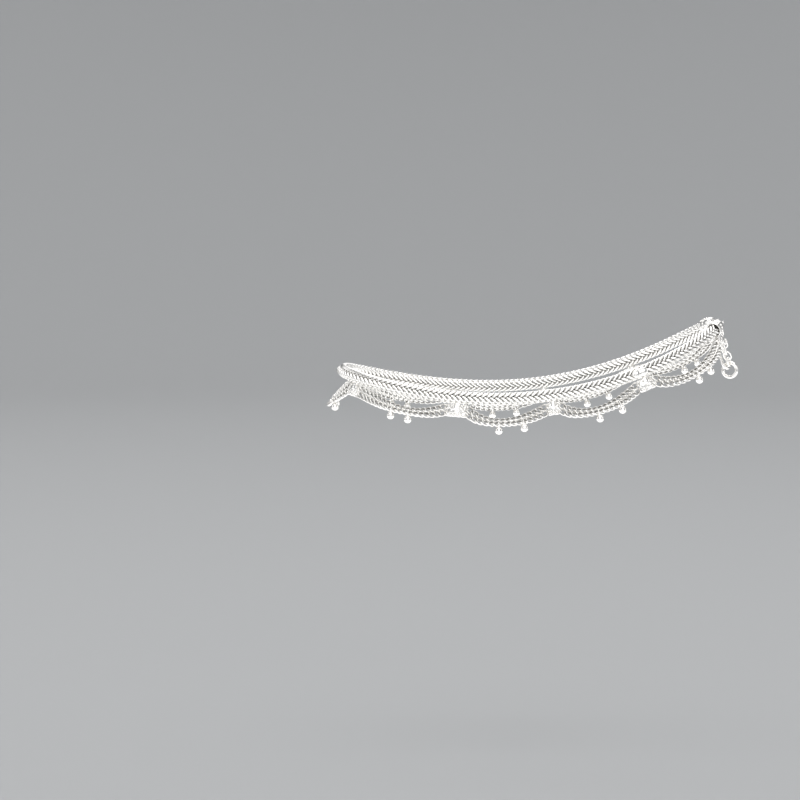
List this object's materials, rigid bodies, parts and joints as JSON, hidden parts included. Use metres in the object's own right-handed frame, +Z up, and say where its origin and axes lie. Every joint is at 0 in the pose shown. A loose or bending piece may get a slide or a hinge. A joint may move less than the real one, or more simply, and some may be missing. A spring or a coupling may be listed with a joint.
{
  "type": "payal anklet",
  "caption": "Silver anklet: a thick foxtail chain round the ankle, with soldered swags of double curb chain, bead drops, end caps, a catch ring and a hook.",
  "frame": {"origin": "middle of the hollow that the ankle goes through", "axes": "+X from the instep to the heel, -Y to the outer side of the foot, +Z up the leg"},
  "size_m": [0.1204, 0.0626, 0.0318],
  "materials": {
    "foxtail_silver": "bright polished silver wire",
    "curb_silver": "bright polished silver wire",
    "solder_silver": "bright silver solder, grainy",
    "bead_silver": "polished silver",
    "wire_silver": "polished silver wire",
    "tag_silver": "polished silver plate"
  },
  "bodies": {
    "root": {"foxtail_chain": "foxtail_silver", "swag_1": "curb_silver", "swag_2": "curb_silver", "swag_3": "curb_silver", "swag_4": "curb_silver", "swag_5": "curb_silver", "swag_6": "curb_silver", "swag_7": "curb_silver", "swag_8": "curb_silver", "swag_9": "curb_silver", "join_01": "solder_silver", "join_02": "solder_silver", "join_03": "solder_silver", "join_04": "solder_silver", "join_05": "solder_silver", "join_06": "solder_silver", "join_07": "solder_silver", "join_08": "solder_silver", "drop_01": "bead_silver", "drop_02": "bead_silver", "drop_03": "bead_silver", "drop_04": "bead_silver", "drop_05": "bead_silver", "drop_06": "bead_silver", "drop_07": "bead_silver", "drop_08": "bead_silver", "drop_09": "bead_silver", "drop_10": "bead_silver", "drop_11": "bead_silver", "drop_12": "bead_silver", "drop_13": "bead_silver", "drop_14": "bead_silver", "drop_15": "bead_silver", "drop_16": "bead_silver", "drop_17": "bead_silver", "drop_18": "bead_silver", "end_cap_near": "solder_silver", "end_cap_far": "solder_silver", "tail_chain": "wire_silver", "catch_ring": "wire_silver", "clasp_hook": "wire_silver", "tag_plate": "tag_silver"}
  },
  "joints": []
}
